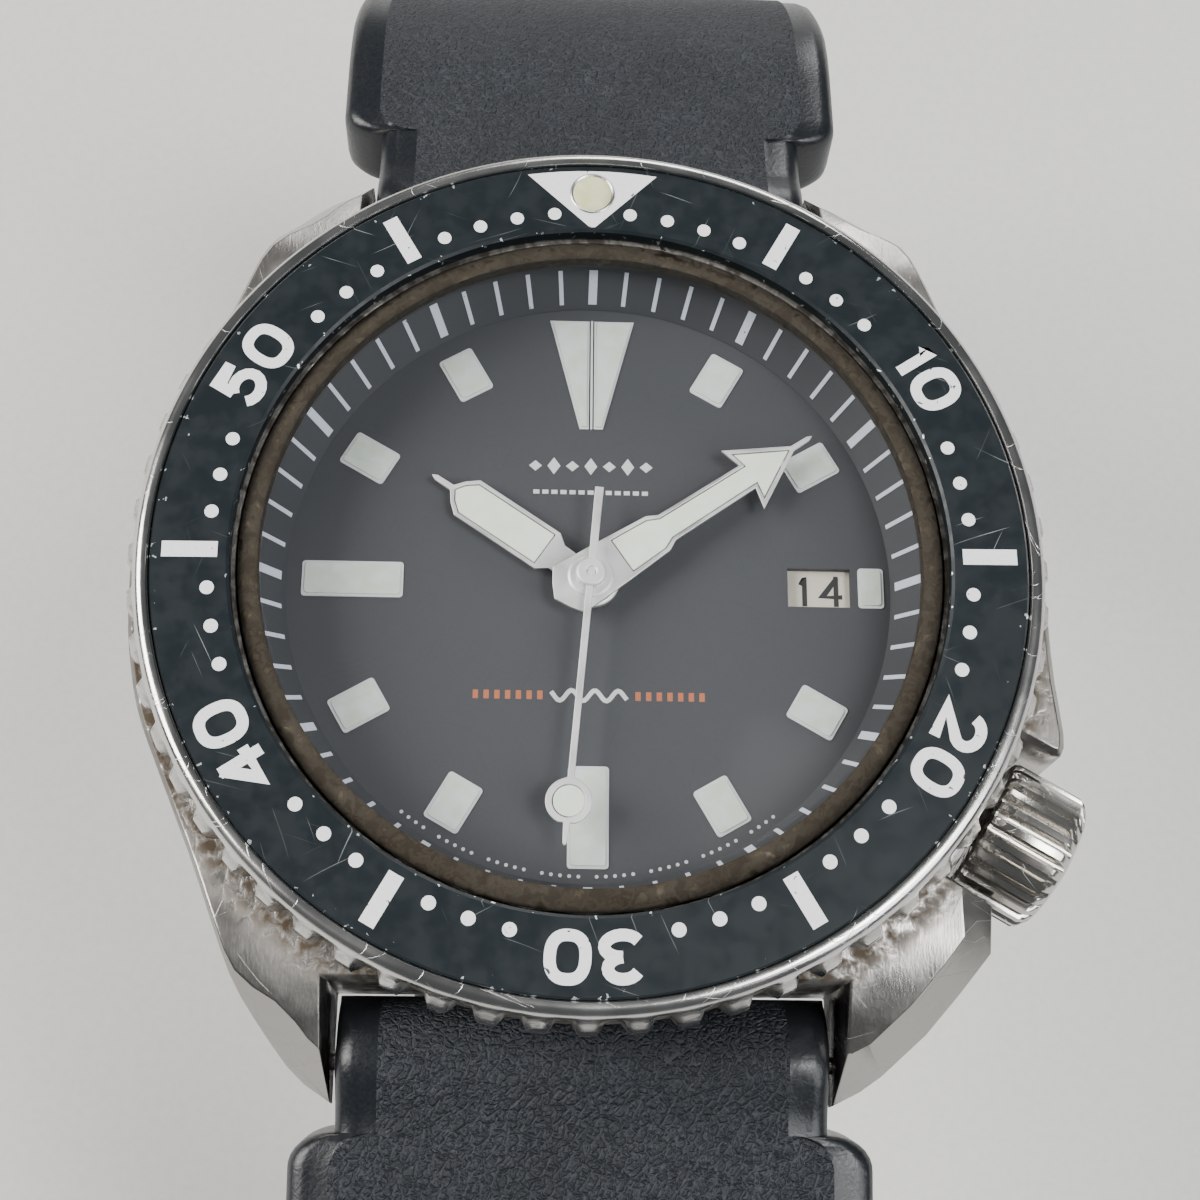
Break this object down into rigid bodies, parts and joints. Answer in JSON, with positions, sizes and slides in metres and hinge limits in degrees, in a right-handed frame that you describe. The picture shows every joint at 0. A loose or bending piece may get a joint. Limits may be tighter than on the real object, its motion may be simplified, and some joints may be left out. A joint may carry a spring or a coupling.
{
  "type": "dive watch",
  "caption": "Self-winding dive watch with a turning timing bezel, date window, screw-down crown at four o'clock and an open rubber buckle strap.",
  "frame": {"origin": "centre of the case back's flat outer face, on the dial's axis", "axes": "+Z out of the dial, +Y to 12 o'clock, +X to 3 o'clock"},
  "size_m": [0.0437, 0.0881, 0.0683],
  "materials": {
    "case_steel": "fine brushed top, worn polish on the flanks",
    "bezel_steel": "worn polish with small knocks",
    "crown_steel": "satin with polished ridges",
    "back_steel": "turned satin",
    "pin_steel": "turned",
    "buckle_steel": "brushed face, rounded edges",
    "insert_aluminium": "black anodised with printed white marks, chipped edges",
    "lume": "aged luminous paint",
    "crystal_glass": "clear mineral glass with fine scratches",
    "dial_black": "matt charcoal paint with raised luminous plots",
    "chapter_black": "matt black with pale printed minute marks",
    "hand_steel": "white-silver with luminous inlays",
    "seal_rubber": "plain",
    "retainer_steel": "dulled by old dirt",
    "strap_rubber": "fine-grained top, smooth edges, small nicks",
    "movement_brass": "gilt",
    "movement_nickel": "nickel with fine striping",
    "movement_steel": "polished",
    "spacer_nylon": "moulded",
    "date_paint": "cream with black numerals"
  },
  "bodies": {
    "watch_case": {"case_body": "case_steel", "case_back": "back_steel", "case_back_gasket": "seal_rubber", "crown_tube": "pin_steel", "crystal": "crystal_glass", "crystal_gasket": "seal_rubber", "crystal_retainer": "retainer_steel", "bezel_gasket": "seal_rubber", "bezel_click_spring": "movement_steel", "chapter_ring": "chapter_black", "dial": "dial_black", "main_plate": "movement_nickel", "train_bridge": "movement_nickel", "balance_cock": "movement_nickel", "movement_ring": "spacer_nylon", "hairspring": "movement_steel", "spring_bar_12": "pin_steel", "spring_bar_6": "pin_steel"},
    "bezel": {"bezel_ring": "bezel_steel", "bezel_insert": "insert_aluminium", "bezel_lume_pip": "lume"},
    "crown_seal": {"crown_gasket": "seal_rubber"},
    "crown_and_stem": {"crown": "crown_steel", "winding_stem": "movement_steel"},
    "sliding_pinion_body": {"sliding_pinion": "movement_steel"},
    "seconds": {"fourth_wheel": "movement_brass", "seconds_hand": "hand_steel"},
    "minutes": {"center_wheel": "movement_brass", "minute_hand": "hand_steel"},
    "hours": {"hour_wheel": "movement_brass", "hour_hand": "hand_steel"},
    "third": {"third_wheel": "movement_brass"},
    "escape": {"escape_wheel": "movement_steel"},
    "barrel": {"mainspring_barrel": "movement_brass"},
    "motion_work": {"minute_wheel": "movement_brass"},
    "pallets": {"pallet_fork": "movement_steel"},
    "balance": {"balance_wheel": "movement_brass"},
    "date": {"date_ring": "date_paint"},
    "winding_rotor": {"rotor": "movement_nickel", "rotor_screw": "movement_steel"},
    "pawls": {"pawl_lever": "movement_steel"},
    "ratchet": {"ratchet_wheel": "movement_steel"},
    "reduction": {"reduction_wheel": "movement_brass"},
    "strap_12": {"strap_12_half": "strap_rubber", "fixed_keeper": "strap_rubber", "buckle_bar": "pin_steel"},
    "strap_6": {"strap_6_half": "strap_rubber"},
    "loose_keeper": {"floating_keeper": "strap_rubber"},
    "buckle": {"buckle_frame": "buckle_steel"},
    "tongue": {"buckle_tongue": "buckle_steel"}
  },
  "joints": [
    {"name": "bezel_turn", "type": "hinge", "parent": "watch_case", "child": "bezel", "pos_m": [0, 0, 0.0105], "axis": [0, 0, -1], "continuous": true},
    {"name": "crown_pull", "type": "slide", "parent": "watch_case", "child": "crown_seal", "axis": [0.866, -0.5, 0], "range_m": [0, 0.0025]},
    {"name": "crown_turn", "type": "hinge", "parent": "crown_seal", "child": "crown_and_stem", "pos_m": [0, 0, 0.0055], "axis": [0.866, -0.5, 0], "continuous": true},
    {"name": "sliding_pinion_turn", "type": "hinge", "parent": "watch_case", "child": "sliding_pinion_body", "pos_m": [0, 0, 0.0055], "axis": [0.866, -0.5, 0], "continuous": true},
    {"name": "seconds_turn", "type": "hinge", "parent": "watch_case", "child": "seconds", "pos_m": [0, 0, 0.006], "axis": [0, 0, -1], "continuous": true},
    {"name": "minutes_turn", "type": "hinge", "parent": "watch_case", "child": "minutes", "pos_m": [0, 0, 0.006], "axis": [0, 0, -1], "continuous": true},
    {"name": "hours_turn", "type": "hinge", "parent": "watch_case", "child": "hours", "pos_m": [0, 0, 0.008], "axis": [0, 0, -1], "continuous": true},
    {"name": "third_wheel_turn", "type": "hinge", "parent": "watch_case", "child": "third", "pos_m": [0.00074, 0.00421, 0.006], "axis": [0, 0, -1], "continuous": true},
    {"name": "escape_wheel_turn", "type": "hinge", "parent": "watch_case", "child": "escape", "pos_m": [0.00337, -0.00283, 0.006], "axis": [0, 0, -1], "continuous": true},
    {"name": "barrel_turn", "type": "hinge", "parent": "watch_case", "child": "barrel", "pos_m": [-0.00428, -0.00156, 0.006], "axis": [0, 0, -1], "continuous": true},
    {"name": "motion_work_turn", "type": "hinge", "parent": "watch_case", "child": "motion_work", "pos_m": [-0.00208, 0.0012, 0.006], "axis": [0, 0, -1], "continuous": true},
    {"name": "pallet_rock", "type": "hinge", "parent": "watch_case", "child": "pallets", "pos_m": [0.0058, -0.00155, 0.006], "axis": [0, 0, -1], "range_deg": [-8, 8]},
    {"name": "balance_swing", "type": "hinge", "parent": "watch_case", "child": "balance", "pos_m": [0.0085, 0.0013, 0.006], "axis": [0, 0, -1], "range_deg": [-270, 270]},
    {"name": "date_turn", "type": "hinge", "parent": "watch_case", "child": "date", "pos_m": [0, 0, 0.0076], "axis": [0, 0, -1], "continuous": true},
    {"name": "rotor_turn", "type": "hinge", "parent": "watch_case", "child": "winding_rotor", "pos_m": [0, 0, 0.0034], "axis": [0, 0, -1], "continuous": true},
    {"name": "pawl_stroke", "type": "slide", "parent": "watch_case", "child": "pawls", "axis": [-0.603, -0.7977, 0], "range_m": [-0.00015, 0.00015]},
    {"name": "ratchet_turn", "type": "hinge", "parent": "watch_case", "child": "ratchet", "pos_m": [-0.00428, -0.00156, 0.006], "axis": [0, 0, -1], "continuous": true},
    {"name": "reduction_turn", "type": "hinge", "parent": "watch_case", "child": "reduction", "pos_m": [-0.00428, -0.00566, 0.004], "axis": [0, 0, -1], "continuous": true},
    {"name": "strap_12_swing", "type": "hinge", "parent": "watch_case", "child": "strap_12", "pos_m": [0, 0.021, 0.0033], "axis": [1, 0, 0], "range_deg": [0, 60]},
    {"name": "strap_6_swing", "type": "hinge", "parent": "watch_case", "child": "strap_6", "pos_m": [0, -0.021, 0.0033], "axis": [-1, 0, 0], "range_deg": [0, 60]},
    {"name": "keeper_slide", "type": "slide", "parent": "strap_12", "child": "loose_keeper", "axis": [0, 0.0872, -0.9962], "range_m": [-0.003, 0.006]},
    {"name": "buckle_swing", "type": "hinge", "parent": "strap_12", "child": "buckle", "pos_m": [0, 0.03466, -0.0439], "axis": [1, 0, 0], "range_deg": [-90, 15]},
    {"name": "tongue_swing", "type": "hinge", "parent": "buckle", "child": "tongue", "pos_m": [0, 0.03466, -0.0439], "axis": [1, 0, 0], "range_deg": [0, 55]}
  ],
  "couplings": [
    {"joint": "sliding_pinion_turn", "follows": "crown_turn", "ratio": 1},
    {"joint": "minutes_turn", "follows": "seconds_turn", "ratio": 0.016667},
    {"joint": "hours_turn", "follows": "seconds_turn", "ratio": 0.0013889},
    {"joint": "third_wheel_turn", "follows": "seconds_turn", "ratio": -0.13333},
    {"joint": "escape_wheel_turn", "follows": "seconds_turn", "ratio": -9},
    {"joint": "barrel_turn", "follows": "seconds_turn", "ratio": -0.0027778},
    {"joint": "motion_work_turn", "follows": "seconds_turn", "ratio": -0.0055556},
    {"joint": "reduction_turn", "follows": "ratchet_turn", "ratio": -8}
  ]
}
